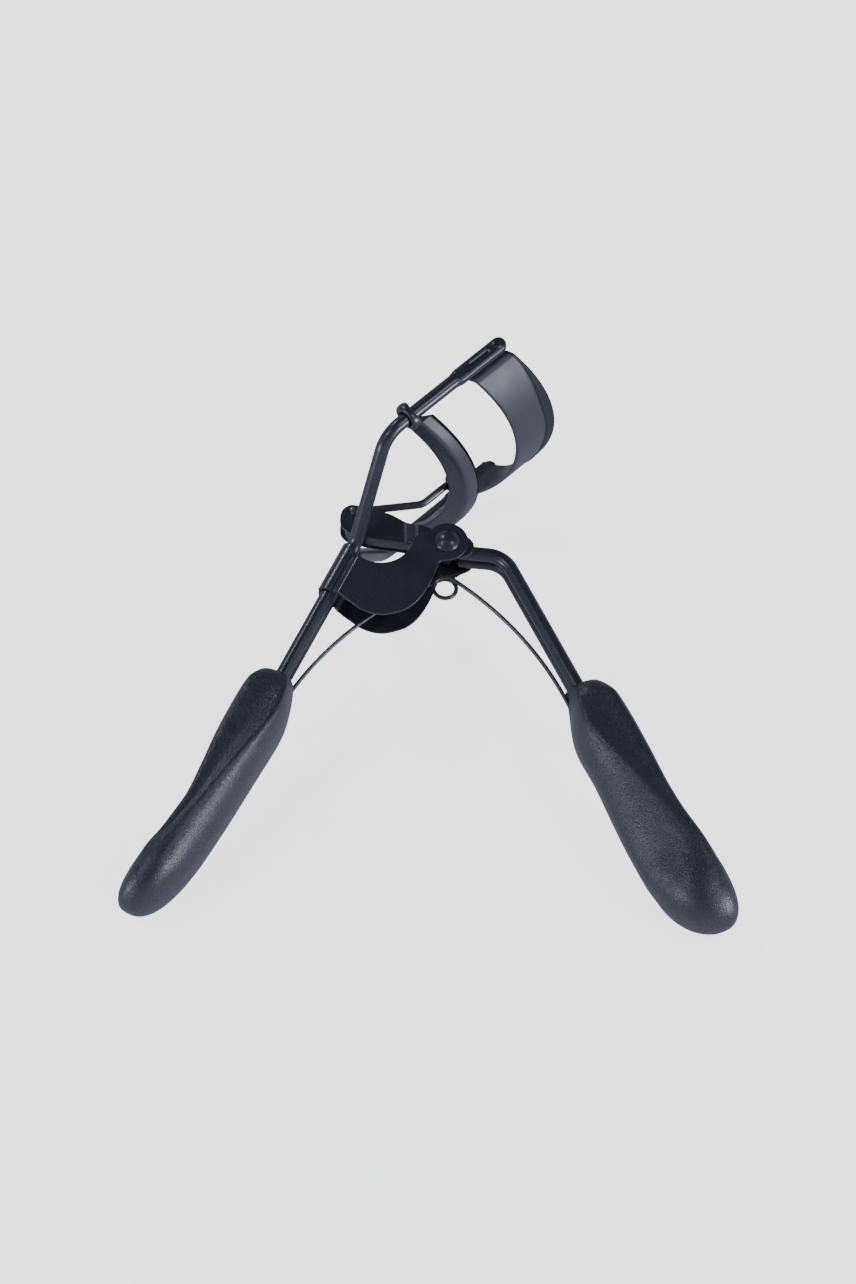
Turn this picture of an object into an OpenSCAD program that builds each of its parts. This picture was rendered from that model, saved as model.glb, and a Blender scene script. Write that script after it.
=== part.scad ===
// Eyelash curler with soft grips, lying on its side.
// The mechanism is drawn in its own plane: the pivot is the origin, +Y points to the head
// along the bisector of the open handles, +X points to the lever side and +Z runs along the
// pivot. laid() then tips it so that the far eyelet and both grips stand on the surface.

/* [Wire frame] */
// Diameter of the frame and lever rods
rod_d = 2; // [1.8:0.05:2.05]
// Distance between the two head rods, centre to centre
gauge = 33; // [32.5:0.1:33.5]
// Angle of each open handle from the bisector
handle_angle = 25.6; // [24:0.2:27]
// Direction of the head rods from +X
head_angle = 43.4; // [42:0.2:45]
// Distance of the fixed handle's axis from the pivot
fixed_offset = 11.7; // [11.4:0.1:12]
// Distance of the lever handle's axis from the pivot
lever_offset = 6.6; // [6.3:0.1:7]
// Length of the head rods above their bend
head_len = 22.6; // [22.2:0.1:23.4]

/* [Lash plates] */
// Inner radius of the upper plate
plate_r = 22.8; // [22.6:0.1:23]
// Thickness of the upper plate
plate_t = 0.45; // [0.35:0.05:0.5]
// Height of the upper plate along the rods
plate_h = 7.15; // [6:0.05:7.5]
// Slope of the plates' edges against the rods
plate_slope = 29; // [27:0.5:30]
// Outer radius of the jaw channel
jaw_r = 23.75; // [23.7:0.05:23.9]
// Radial width of the jaw channel
jaw_w = 2.75; // [2.6:0.05:2.9]
// How far the pad stands above the jaw
pad_proud = 0.45; // [0.3:0.05:0.5]

/* [Mechanism] */
// Thickness of the bracket's sheet
bracket_t = 0.4; // [0.3:0.05:0.45]
// Radius of the pivot rivet's shank
pivot_r = 1; // [0.8:0.05:1.2]
// Diameter of the push link's wire
link_d = 1.1; // [0.9:0.05:1.15]
// Diameter of the spring wire
spring_d = 0.6; // [0.5:0.05:0.6]
// Mean radius of the spring's coil
coil_r = 1.6; // [1.5:0.05:1.7]

/* [Grips] */
// Length of wire that each grip holds
held_len = 22; // [16:1:26]

/* [Hidden] */
$fn = 64;

black = "#1f2128";
satin = "#4a4c54";
steel = "#3a3b40";
rubber = "#26272d";

// Resting pose: tip about X, then the shift that puts the origin under the middle
lay_angle = 11.3;
rest_shift = [2.964, 14.544, 15.823];

rod_r = rod_d / 2;
c_a = cos(handle_angle);
s_a = sin(handle_angle);
fixed_down = [-s_a, -c_a, 0];
fixed_out = [-c_a, s_a, 0];
lever_down = [s_a, -c_a, 0];
lever_out = [c_a, s_a, 0];
head_up = [cos(head_angle), sin(head_angle), 0];
head_side = [sin(head_angle), -cos(head_angle), 0];
up = [0, 0, 1];

head_bend_s = -4.3;
neck_s = 5.7;
rod_end_s = 28 + held_len;
pair_z = 1.04;
lever_pair_z = 1.12;
head_base = fixed_out * fixed_offset + fixed_down * head_bend_s;

plate_centre = -15.5;
plate_a = 14.6;
jaw_a = 3.75;
jaw_h = 2.1;
jaw_wall = 0.35;
arc_end = 15.4;
flat_w = 2.35;
flat_h = 1.7;
flat_a = 13.75;

ear_in = 2.52;
ear_r = 2.95;
sleeve_in = 1.12;
lever_in = 2.14;
lever_t = 0.32;
arm_in = 1.2;
arm_t = 0.4;

jaw_pin = [0.7, 11.4, 0];
lever_pin = [-12.9, 5.6, 0];
link_foot = [-13.16, 5.82, 0];
coil_centre = [-0.3, -5.9, 0];

// Each bend starts this far inside the straight rods, and is this much thinner
bend_lead = 0.06;
bend_step = 0.012;

function unit(v) = v / norm(v);
function bend_angle(a, b, c) = acos(unit(b - a) * unit(c - b));
function fixed_at(s, out = 0) = fixed_out * (fixed_offset + out) + fixed_down * s;
function lever_at(s, out = 0) = lever_out * (lever_offset + out) + lever_down * s;
function head_at(a, side = 0) = head_base + head_up * a + head_side * side;

// Places its children with their x and z axes along the given unit vectors
module along(p, x, z) {
  y = cross(z, x);
  multmatrix([
    [x.x, y.x, z.x, p.x],
    [x.y, y.y, z.y, p.y],
    [x.z, y.z, z.z, p.z],
    [0, 0, 0, 1]
  ]) children();
}

module laid() {
  translate(rest_shift) rotate([lay_angle, 0, 0]) children();
}

module head_frame() {
  along(head_base, head_side, head_up) children();
}

// x towards the pivot, y along the pivot's axis, z down the fixed handle
module fixed_frame() {
  along(fixed_out * fixed_offset, -fixed_out, fixed_down) children();
}

// x away from the other handle, y along the pivot's axis, z down the lever handle
module lever_frame() {
  along(lever_out * lever_offset, lever_out, lever_down) children();
}

module stick(a, b, r) {
  d = unit(b - a);
  side = abs(d.z) > 0.9 ? [1, 0, 0] : up;
  along(a, unit(cross(side, d)), d) cylinder(h = norm(b - a), r = r);
}

// A round rod through the points pts, each inner corner bent to its radius in bends
module bent_rod(pts, bends, r) {
  n = len(pts);
  cut = [for (i = [0:n - 1]) i == 0 || i == n - 1
    ? 0 : bends[i - 1] * tan(bend_angle(pts[i - 1], pts[i], pts[i + 1]) / 2)];
  union() {
    for (i = [0:n - 2]) {
      d = unit(pts[i + 1] - pts[i]);
      stick(pts[i] + d * cut[i], pts[i + 1] - d * cut[i + 1], r);
    }
    for (i = [1:n - 2]) {
      d = unit(pts[i] - pts[i - 1]);
      turn = bend_angle(pts[i - 1], pts[i], pts[i + 1]);
      axis = unit(cross(d, pts[i + 1] - pts[i]));
      side = cross(d, axis);
      lead = bend_lead / bends[i - 1] * 180 / PI;
      along(pts[i] - d * cut[i] - side * bends[i - 1], side, axis) rotate([0, 0, -lead])
        rotate_extrude(angle = turn + 2 * lead) translate([bends[i - 1], 0])
          circle(r = r - bend_step);
    }
  }
}

// A closed skin over rings, which are lists of the same number of points
module skin(rings) {
  m = len(rings[0]);
  n = len(rings);
  pts = [for (ring = rings) each ring];
  sides = [for (i = [0:n - 2], j = [0:m - 1]) each [
    [i * m + j, i * m + (j + 1) % m, (i + 1) * m + j],
    [i * m + (j + 1) % m, (i + 1) * m + (j + 1) % m, (i + 1) * m + j]
  ]];
  polyhedron(points = pts, faces = concat(
    [[for (j = [m - 1:-1:0]) j]], sides, [[for (j = [0:m - 1]) (n - 1) * m + j]]));
}

// ---- wire frame ----

module frame_rod() {
  near = [0, 0, gauge / 2];
  pair = [0, 0, pair_z];
  union() {
    bent_rod([
      head_at(flat_a) + near,
      head_at(0) + near,
      fixed_at(neck_s) + pair,
      fixed_at(rod_end_s) + pair
    ], [4.5, 3.5], rod_r);
    head_frame() translate([0, -gauge / 2, 0]) flat_end();
  }
}

// The pressed end of a head rod, with its rounded tip and staked groove
module flat_end() {
  flat_len = head_len - flat_a;
  edge = (flat_w - flat_h) / 2;
  difference() {
    intersection() {
      translate([0, 0, flat_a - 0.2]) linear_extrude(flat_len + 0.2) {
        square([flat_w - flat_h, flat_h], center = true);
        for (x = [-edge, edge]) translate([x, 0]) circle(r = flat_h / 2);
      }
      rotate([90, 0, 0]) linear_extrude(4, center = true) {
        translate([-flat_w / 2, flat_a - 0.2]) square([flat_w, flat_len + 0.2 - flat_w / 2]);
        translate([0, head_len - flat_w / 2]) circle(r = flat_w / 2);
      }
    }
    translate([0, -flat_h / 2, 0]) rotate([90, 0, 0]) linear_extrude(0.4, center = true) {
      translate([-0.25, 16]) square([0.5, 3]);
      for (a = [16, 19]) translate([0, a]) circle(r = 0.25);
    }
  }
}

module near_frame_rod() {
  color(black) laid() frame_rod();
}

module far_frame_rod() {
  color(black) laid() mirror([0, 0, 1]) frame_rod();
}

// ---- lash plates ----

// A curved band about the plates' common centre, in the head frame's x and y
module band(r_in, r_out, half) {
  difference() {
    intersection() {
      translate([plate_centre, 0]) circle(r = r_out, $fn = 128);
      translate([-1, -half]) square([12, 2 * half]);
    }
    translate([plate_centre, 0]) circle(r = r_in, $fn = 128);
  }
}

// The slanted layer between heights a and b, measured on the rods' axes
module layer(a, b) {
  rise = tan(plate_slope);
  rotate([90, 0, 0]) linear_extrude(40, center = true)
    polygon([[-3, a - 3 * rise], [12, a + 12 * rise], [12, b + 12 * rise], [-3, b - 3 * rise]]);
}

module slanted_band(r_in, r_out, half, a, b) {
  intersection() {
    linear_extrude(40) band(r_in, r_out, half);
    layer(a, b);
  }
}

module upper_plate() {
  lip_h = 1.3;
  lip_t = 0.3;
  tab_y = gauge / 2 - flat_h / 2 - plate_t;
  color(satin) laid() head_frame() union() {
    slanted_band(plate_r, plate_r + plate_t, arc_end, plate_a, plate_a + plate_h);
    slanted_band(plate_r + plate_t / 2, plate_r + plate_t + lip_t, arc_end - 1.6,
      plate_a + plate_h - lip_h, plate_a + plate_h);
    intersection() {
      for (m = [0, 1]) mirror([0, m, 0])
        translate([-1, tab_y, 10]) cube([2.7, plate_t, 20]);
      layer(plate_a, plate_a + plate_h);
    }
  }
}

// Clears the head rods, and the eyelets on them, from the jaw's ends
module rod_room(r) {
  for (m = [0, 1]) mirror([0, m, 0]) translate([0, gauge / 2, -5]) cylinder(h = 40, r = r);
}

module lower_jaw() {
  in_r = jaw_r - jaw_w;
  color(satin) laid() difference() {
    union() {
      head_frame() difference() {
        slanted_band(in_r, jaw_r, 15.6, jaw_a, jaw_a + jaw_h);
        slanted_band(in_r + jaw_wall, jaw_r - jaw_wall, 16, jaw_a + 0.4, jaw_a + 6);
        rod_room(2.04);
      }
      for (z = [-1, 0.6]) translate([0, 0, z]) linear_extrude(0.4) jaw_lug();
    }
    translate(jaw_pin - [0, 0, 2]) cylinder(h = 4, r = 0.46);
  }
}

// One ear of the lug that carries the push link
module jaw_lug() {
  root = head_at(7.2, 5.55);
  top = head_at(8.7, 5.55);
  translate([jaw_pin.x, jaw_pin.y]) circle(r = 0.85);
  polygon([[root.x, root.y], [top.x, top.y], [jaw_pin.x + 0.6, jaw_pin.y + 0.6],
    [jaw_pin.x - 0.6, jaw_pin.y - 0.6]]);
}

module lash_pad() {
  gap = 0.05;
  color(rubber) laid() head_frame() difference() {
    slanted_band(jaw_r - jaw_w + jaw_wall + gap, jaw_r - jaw_wall - gap, 15,
      jaw_a + 0.45, jaw_a + jaw_h + pad_proud);
    rod_room(2.1);
  }
}

module slide_eyelet(y) {
  bore = rod_r + 0.07;
  color(black) laid() head_frame() translate([0, y, 4.4]) rotate_extrude() intersection() {
    translate([1.15, 0]) circle(r = 0.85);
    translate([bore, -1]) square([2, 2]);
  }
}

module near_slide_eyelet() {
  slide_eyelet(-gauge / 2);
}

module far_slide_eyelet() {
  slide_eyelet(gauge / 2);
}

module domed_rivet(p, r, half, head_r, head_h) {
  dome_r = (head_r * head_r + head_h * head_h) / (2 * head_h);
  translate(p) {
    translate([0, 0, -half - 0.02]) cylinder(h = 2 * half + 0.04, r = r);
    for (m = [0, 1]) mirror([0, 0, m]) translate([0, 0, half]) intersection() {
      translate([0, 0, head_h - dome_r]) sphere(r = dome_r);
      cylinder(h = head_h + 1, r = head_r + 1);
    }
  }
}

module jaw_rivet() {
  color(black) laid() domed_rivet(jaw_pin, 0.45, 1, 0.85, 0.45);
}

// ---- bracket and pivot ----

// Section of the folded sheet's hollow, grown by g
module fold_section(g) {
  r = sleeve_in + g;
  edge = r - 0.02;
  wall = ear_in + (g > 0 ? g - 0.02 : 0.02);
  for (y = [-pair_z, pair_z]) translate([0, y]) circle(r = r);
  translate([-edge, -pair_z]) square([r, 2 * pair_z]);
  polygon([[-0.2, -pair_z - edge], [1, -pair_z - edge], [2, -wall], [3, -wall],
    [3, wall], [2, wall], [1, pair_z + edge], [-0.2, pair_z + edge]]);
}

// Outline of one side plate with its pivot ear
module ear_outline() {
  top = fixed_at(6.2, -2.2);
  heel = fixed_at(14.2, -2.2);
  polygon([[top.x, top.y], [-4.2, 0.1], [-2.4, 1.7], [0.2, -2.9], [-0.9, -2.9], [-1.3, -3.9],
    [-2.4, -6.6], [-3.8, -9], [-5.2, -10.5], [-6.6, -11.1], [-8.7, -11.7], [-10.5, -11.5],
    [-12.1, -10.8], [heel.x, heel.y]]);
}

module frame_bracket() {
  color(black) laid() difference() {
    union() {
      fixed_frame() translate([0, 0, 6]) linear_extrude(8) difference() {
        fold_section(bracket_t);
        fold_section(0);
        translate([2.6, -5]) square([4, 10]);
      }
      for (z = [-ear_in - bracket_t, ear_in]) translate([0, 0, z])
        linear_extrude(bracket_t) {
          circle(r = ear_r);
          ear_outline();
        }
    }
    translate([-9.3, 1.1, -5]) cylinder(h = 10, r = 4.6);
    translate([0, 0, -5]) cylinder(h = 10, r = pivot_r + 0.01);
  }
}

module pivot_rivet() {
  color(black) laid() domed_rivet([0, 0, 0], pivot_r, ear_in + bracket_t, 1.75, 0.95);
}

// ---- lever ----

// Outline of the lever's short arm, left of the pivot
module arm_outline() {
  difference() {
    union() {
      polygon([[-14.2, 6.3], [-12.4, 6.55], [-10, 5.8], [-8, 5.1], [-6.2, 3.9], [-4.6, 3],
        [-4.6, 0.3], [-6.6, 0.6], [-9.4, 1], [-12.2, 1.6], [-14.6, 2.5], [-15, 4.2]]);
      translate([-13.3, 5]) circle(r = 1.65);
    }
    translate([lever_pin.x, lever_pin.y]) circle(r = 0.41);
  }
}

// Outline of the lever's walls round the pivot and the ends of its rods
module hub_outline() {
  difference() {
    union() {
      circle(r = 2.7);
      polygon([[-5, 3.2], [-2, 2.2], [2, 1.8], [3.4, 0.92], [4.7, 0.4], [4.7, -1.75],
        [2, -2.3], [-1.5, -2.3], [-5, 0.3]]);
    }
    circle(r = pivot_r + 0.06);
  }
}

module lever_plate() {
  color(black) laid() {
    for (m = [0, 1]) mirror([0, 0, m]) {
      translate([0, 0, arm_in]) linear_extrude(arm_t) arm_outline();
      translate([0, 0, lever_in]) linear_extrude(lever_t) hub_outline();
      intersection() {
        rotate([-90, 0, 0]) linear_extrude(4) mirror([0, 1])
          polygon([[-5.1, arm_in], [-4.6, lever_in], [-4.6, lever_in + lever_t],
            [-4.9, lever_in + lever_t], [-5.4, arm_in + arm_t], [-5.4, arm_in]]);
        translate([-6, 0.3, 0]) cube([2, 2.7, 4]);
      }
    }
    // Web that closes the short arm along its lower edge
    translate([0, 0, -arm_in]) linear_extrude(2 * arm_in)
      polygon([[-6.6, 0.6], [-9.4, 1], [-12.2, 1.6], [-14.6, 2.5], [-14.7, 2.95],
        [-12.1, 2.02], [-9.35, 1.42], [-6.6, 1.02]]);
    // Saddle over the ends of the rods
    translate([0, 0, -lever_in]) linear_extrude(2 * lever_in)
      polygon([[3.5, 0.52], [3.4, 0.92], [4.7, 0.4], [4.7, 0.08]]);
  }
}

module lever_rod() {
  pair = [0, 0, lever_pair_z];
  bent_rod([
    [1.9, -0.75, 0] + pair,
    lever_at(4.7) + pair,
    lever_at(rod_end_s) + pair
  ], [4], rod_r);
}

module near_lever_rod() {
  color(black) laid() lever_rod();
}

module far_lever_rod() {
  color(black) laid() mirror([0, 0, 1]) lever_rod();
}

module link_pin() {
  color(steel) laid() translate([lever_pin.x, lever_pin.y, -arm_in - arm_t])
    cylinder(h = 2 * (arm_in + arm_t), r = 0.4);
}

// ---- push link ----

module push_link() {
  eye = [0.76, 1.25];
  bore = [0.5, 0.78];
  ends = [jaw_pin, link_foot];
  color(steel) laid() difference() {
    union() {
      bent_rod([jaw_pin + [-0.4, -0.3, 0], [-3.4, 7.65, 0], [-10.2, 6.75, 0],
        link_foot + [0.9, 0.3, 0]], [2.5, 2.5], link_d / 2);
      for (i = [0, 1]) translate(ends[i] - [0, 0, 0.5]) cylinder(h = 1, r = eye[i]);
    }
    for (i = [0, 1]) translate(ends[i] - [0, 0, 1]) cylinder(h = 2, r = bore[i]);
  }
}

// ---- spring ----

// A leg that leaves the coil at angle a0, sweeps through turn over length l; way is 1 or -1
function leg(a0, turn, l, way, z, steps) = [for (i = [0:steps])
  let (
    q = i / steps,
    heading = a0 + way * 90,
    bow = l / (turn * PI / 180),
    start = coil_centre + coil_r * [cos(a0), sin(a0), 0],
    bend = way * turn * q
  )
  start + [0, 0, z] + way * bow
    * [sin(heading + bend) - sin(heading), cos(heading) - cos(heading + bend), 0]];

left_leg_angle = 114;
right_leg_angle = 54;
coil_sweep = 360 + left_leg_angle - right_leg_angle;
coil_rise = 0.66 * coil_sweep / 360;

function reversed(list) = [for (i = [len(list) - 1:-1:0]) list[i]];

// From the tip of the left leg, round the coil and down to the tip of the right leg
spring_line = concat(
  reversed(leg(left_leg_angle, 35, 28.6, 1, -coil_rise / 2, 10)),
  [for (i = [1:31]) let (q = i / 32, a = left_leg_angle - q * coil_sweep)
    coil_centre + [coil_r * cos(a), coil_r * sin(a), (q - 0.5) * coil_rise]],
  leg(right_leg_angle, 33.7, 28.6, -1, coil_rise / 2, 10)
);

function ring_at(path, i, r, sides) =
  let (
    a = path[max(i - 1, 0)],
    b = path[min(i + 1, len(path) - 1)],
    t = unit(b - a),
    n = unit(cross(up, t)),
    m = cross(t, n)
  )
  [for (j = [0:sides - 1]) path[i] + r * (n * cos(360 * j / sides) + m * sin(360 * j / sides))];

module return_spring() {
  color(steel) laid()
    skin([for (i = [0:len(spring_line) - 1]) ring_at(spring_line, i, spring_d / 2, 10)]);
}

// Hole in a grip for the end of a spring leg
module spring_hole(i, j) {
  d = unit(spring_line[j] - spring_line[i]);
  stick(spring_line[i] - d * 1.5, spring_line[i] + d * 6, spring_d / 2 + 0.2);
}

// ---- grips ----

// Stations down each grip: distance from the pivot's foot, outer side, inner side, half height
fixed_stations = [
  [28.4, 2.4, 1.6, 2.2], [29.2, 3.35, 2.2, 3.2], [31.4, 3.85, 2.9, 4], [35, 3.95, 3.55, 4.6],
  [41, 3.75, 3.45, 5.2], [47, 3.15, 3.25, 5.65], [52, 2.8, 3, 5.95], [57, 3.4, 2.6, 6.25],
  [62, 4.85, 1.7, 6.1], [65.3, 5.25, 0.15, 5.05], [67.4, 5.05, -0.55, 3.4],
  [68.2, 4.25, -0.85, 1.7], [68.45, 3.3, -1.4, 0.6]
];
lever_stations = [
  [27.5, 2.3, 1.9, 2.2], [28.3, 3.4, 1.9, 3.2], [30.2, 4.15, 2.6, 3.9], [35, 4.35, 4.1, 4.5],
  [41, 4.15, 4.25, 5], [47, 3.8, 4.7, 5.4], [52, 3.9, 4.95, 5.7], [57, 4.55, 4.95, 5.85],
  [61.5, 5.1, 4.3, 5.65], [64.4, 4.8, 3.1, 4.9], [66.6, 3.9, 0.9, 3.4],
  [67.5, 2.6, -0.7, 1.6], [67.75, 2, -1.1, 0.6]
];

// Catmull-Rom value between b and c at q from 0 to 1
function smooth(a, b, c, d, q) =
  0.5 * (2 * b + q * (c - a) + q * q * (2 * a - 5 * b + 4 * c - d)
    + q * q * q * (3 * b - 3 * c + d - a));

function smooth_list(list, steps) = let (n = len(list)) [
  for (i = [0:n - 2], k = [0:steps - 1])
    smooth(list[max(i - 1, 0)], list[i], list[i + 1], list[min(i + 2, n - 1)], k / steps),
  list[n - 1]
];

function power(v, e) = sign(v) * pow(abs(v), e);

function grip_ring(st, sides, e) = [for (j = [0:sides - 1]) let (a = 360 * j / sides) [
  (st[1] - st[2]) / 2 + (st[1] + st[2]) / 2 * power(cos(a), e),
  st[3] * power(sin(a), e),
  st[0]
]];

module grip_body(stations) {
  skin([for (st = smooth_list(stations, 3)) grip_ring(st, 24, 0.84)]);
}

module rod_holes(z) {
  for (y = [-z, z]) translate([0, y, 20]) cylinder(h = rod_end_s - 19.9, r = rod_r + 0.02);
}

module fixed_grip() {
  color(rubber) laid() difference() {
    fixed_frame() difference() {
      mirror([1, 0, 0]) grip_body(fixed_stations);
      rod_holes(pair_z);
    }
    spring_hole(0, 1);
  }
}

module lever_grip() {
  last = len(spring_line) - 1;
  color(rubber) laid() difference() {
    lever_frame() difference() {
      grip_body(lever_stations);
      rod_holes(lever_pair_z);
    }
    spring_hole(last, last - 1);
  }
}

near_frame_rod();
far_frame_rod();
upper_plate();
frame_bracket();
pivot_rivet();
fixed_grip();
return_spring();
lever_plate();
near_lever_rod();
far_lever_rod();
lever_grip();
link_pin();
lower_jaw();
lash_pad();
near_slide_eyelet();
far_slide_eyelet();
jaw_rivet();
push_link();
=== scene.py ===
import math

import bmesh
import bpy
from mathutils import Matrix, Vector


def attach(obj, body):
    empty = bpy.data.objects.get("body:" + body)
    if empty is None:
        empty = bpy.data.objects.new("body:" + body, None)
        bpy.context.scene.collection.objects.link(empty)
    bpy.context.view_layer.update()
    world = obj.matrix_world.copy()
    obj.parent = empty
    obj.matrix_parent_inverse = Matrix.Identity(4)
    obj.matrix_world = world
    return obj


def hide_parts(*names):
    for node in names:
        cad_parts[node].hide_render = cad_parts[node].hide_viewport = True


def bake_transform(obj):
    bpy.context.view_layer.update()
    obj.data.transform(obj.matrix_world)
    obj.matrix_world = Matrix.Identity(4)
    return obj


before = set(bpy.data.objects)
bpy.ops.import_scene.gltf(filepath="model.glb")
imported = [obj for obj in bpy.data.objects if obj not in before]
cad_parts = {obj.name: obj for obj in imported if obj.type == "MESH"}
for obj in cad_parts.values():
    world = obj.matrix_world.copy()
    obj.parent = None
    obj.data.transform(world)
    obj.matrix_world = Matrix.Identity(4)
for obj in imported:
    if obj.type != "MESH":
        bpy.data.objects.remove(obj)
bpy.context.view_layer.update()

# The mechanism is modelled in millimetres in its own plane, as the CAD source does: the pivot is
# the origin, +Z runs along it, +Y to the head and +X to the lever. TO_ROW lays it on the surface.
TILT = Matrix.Rotation(math.radians(11.3), 4, "X")
TO_ROW = Matrix.Scale(0.001, 4) @ Matrix.Translation((2.964, 14.544, 15.823)) @ TILT

# Each handle slants outwards by HANDLE from straight down; the head's rods rise at HEAD from +X
HANDLE = math.radians(25.6)
FIXED_OUT = Vector((-math.cos(HANDLE), math.sin(HANDLE), 0))
FIXED_DOWN = Vector((-math.sin(HANDLE), -math.cos(HANDLE), 0))
LEVER_OUT = Vector((math.cos(HANDLE), math.sin(HANDLE), 0))
LEVER_DOWN = Vector((math.sin(HANDLE), -math.cos(HANDLE), 0))
HEAD = math.radians(43.4)
HEAD_UP = Vector((math.cos(HEAD), math.sin(HEAD), 0))
HEAD_SIDE = Vector((math.sin(HEAD), -math.cos(HEAD), 0))
UP = Vector((0, 0, 1))
FIXED_OFF, LEVER_OFF = 11.7, 6.6    # from the pivot out to the line of each handle's rods
FIXED_Z, LEVER_Z = 1.04, 1.12       # of the near rod in each handle
HEAD_Z = 16.5                       # of the near rod at the head
ROD_END = 50                        # how far down the handles the rods end, inside the grips
SLOPE = math.tan(math.radians(29))  # the plate and the jaw rise towards their middles
CENTRE = -15.5                      # of the plates' curve, across the head


def fixed_at(s, out=0.0, z=0.0):
    """The point s down the fixed handle and out from the line of its rods."""
    return FIXED_OUT * (FIXED_OFF + out) + FIXED_DOWN * s + UP * z


def lever_at(s, out=0.0, z=0.0):
    """The point s down the lever's handle and out from the line of its rods."""
    return LEVER_OUT * (LEVER_OFF + out) + LEVER_DOWN * s + UP * z


HEAD_BASE = fixed_at(-4.3)


def head_at(a, p=0.0, z=0.0):
    """The point at height a up the head's rods and p across from them, the way that the plates bow."""
    return HEAD_BASE + HEAD_UP * a + HEAD_SIDE * p + UP * z


def smooth(t):
    """Eases from 0 at t = 0 to 1 at t = 1."""
    t = min(max(t, 0.0), 1.0)
    return t * t * (3 - 2 * t)


# ---- mesh helpers ----

def piece(name, verts, faces, body, nodes, slot, mat, sharp=40, weighted=False):
    """A mesh object from points in the mechanism's frame, riding on body in place of the CAD nodes."""
    me = bpy.data.meshes.new(name)
    me.from_pydata([TO_ROW @ Vector(v) for v in verts], [], faces)
    me.validate()
    bm = bmesh.new()
    bm.from_mesh(me)
    bmesh.ops.recalc_face_normals(bm, faces=bm.faces)
    bm.to_mesh(me)
    bm.free()
    me.polygons.foreach_set("use_smooth", [True] * len(me.polygons))
    me.set_sharp_from_angle(angle=math.radians(sharp))
    me.materials.append(mat)
    ob = bpy.data.objects.new(name, me)
    bpy.context.scene.collection.objects.link(ob)
    if weighted:
        mod = ob.modifiers.new("weighted", "WEIGHTED_NORMAL")
        mod.keep_sharp = True
        mod.weight = 80
    if body:
        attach(ob, body)
    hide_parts(*nodes)
    return ob


def skin(rings, closed=False):
    """Faces over rings of equally many points; the ends are capped or, when closed, joined."""
    m, n = len(rings[0]), len(rings)
    verts = [p for r in rings for p in r]
    faces = []
    for i in range(n if closed else n - 1):
        a, b = i * m, ((i + 1) % n) * m
        for j in range(m):
            k = (j + 1) % m
            faces.append((a + j, a + k, b + k, b + j))
    if not closed:
        faces.append(tuple(range(m - 1, -1, -1)))
        faces.append(tuple((n - 1) * m + j for j in range(m)))
    return verts, faces


def join(*parts):
    """One (verts, faces) pair from several."""
    verts, faces = [], []
    for v, f in parts:
        o = len(verts)
        verts += list(v)
        faces += [tuple(i + o for i in face) for face in f]
    return verts, faces


def mirror_z(part):
    v, f = part
    return [Vector((p[0], p[1], -p[2])) for p in v], [tuple(reversed(face)) for face in f]


def rounded(points, radii, step=0.25):
    """A path through points with each inner corner turned on its radius."""
    pts = [Vector(p) for p in points]
    out = [pts[0]]
    for i in range(1, len(pts) - 1):
        a, b, c = pts[i - 1], pts[i], pts[i + 1]
        d1, d2 = (b - a).normalized(), (c - b).normalized()
        turn = d1.angle(d2)
        r = radii[i - 1]
        back = r * math.tan(turn / 2)
        axis = d1.cross(d2).normalized()
        side = axis.cross(d1)
        centre = b - d1 * back + side * r
        n = max(4, int(r * turn / step * 2))
        for k in range(n + 1):
            q = Matrix.Rotation(turn * k / n, 3, axis) @ (-side)
            out.append(centre + q * r)
    out.append(pts[-1])
    # Long straight runs get points of their own, so the shading stays even
    fine = [out[0]]
    for a, b in zip(out, out[1:]):
        k = max(1, int((b - a).length / 1.5))
        fine += [a.lerp(b, (i + 1) / k) for i in range(k)]
    return fine


def frames(path, first):
    """Parallel-transport frames (tangent, side, other) along path."""
    side = Vector(first)
    out = []
    for i, p in enumerate(path):
        t = (path[min(i + 1, len(path) - 1)] - path[max(i - 1, 0)]).normalized()
        side = (side - t * side.dot(t)).normalized()
        out.append((t, side, t.cross(side)))
    return out


def tube(path, r, sides, first=(0, 0, 1), round_ends=(True, True)):
    """A wire of radius r along path, each end rounded off or left square."""
    fr = frames(path, first)
    rings = []

    def ring(p, f, rad):
        turns = [2 * math.pi * j / sides for j in range(sides)]
        return [p + (f[1] * math.cos(a) + f[2] * math.sin(a)) * rad for a in turns]

    def crown(p, f, way):
        """Three rings that round the end at p, from its face inwards; way is 1 at the path's start."""
        return [ring(p + f[0] * way * 0.3 * r * k, f, r * math.sqrt(1 - 0.9 * (1 - k) ** 2))
                for k in (0.02, 0.35, 0.75)]

    for i, (p, f) in enumerate(zip(path, fr)):
        if i == 0 and round_ends[0]:
            rings += crown(p, f, 1)
        elif i == len(path) - 1 and round_ends[1]:
            rings += reversed(crown(p, f, -1))
        else:
            rings.append(ring(p, f, r))
    return skin(rings)


def lathe(profile, origin, axis, sides=48):
    """Turns (radius, height) points about axis through origin; both ends on the axis are closed."""
    axis = Vector(axis).normalized()
    x = axis.orthogonal().normalized()
    y = axis.cross(x)
    rings = []
    for r, h in profile:
        ring = []
        for j in range(sides):
            a = 2 * math.pi * j / sides
            d = x * math.cos(a) + y * math.sin(a)
            ring.append(Vector(origin) + d * max(r, 0.002) + axis * h)
        rings.append(ring)
    return skin(rings)


def ring_lathe(profile, origin, axis, sides):
    """As lathe, but the profile is a closed loop away from the axis."""
    axis = Vector(axis).normalized()
    x = axis.orthogonal().normalized()
    y = axis.cross(x)
    rings = []
    for j in range(sides):
        a = 2 * math.pi * j / sides
        d = x * math.cos(a) + y * math.sin(a)
        rings.append([Vector(origin) + d * r + axis * h for r, h in profile])
    return skin(rings, closed=True)


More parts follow.
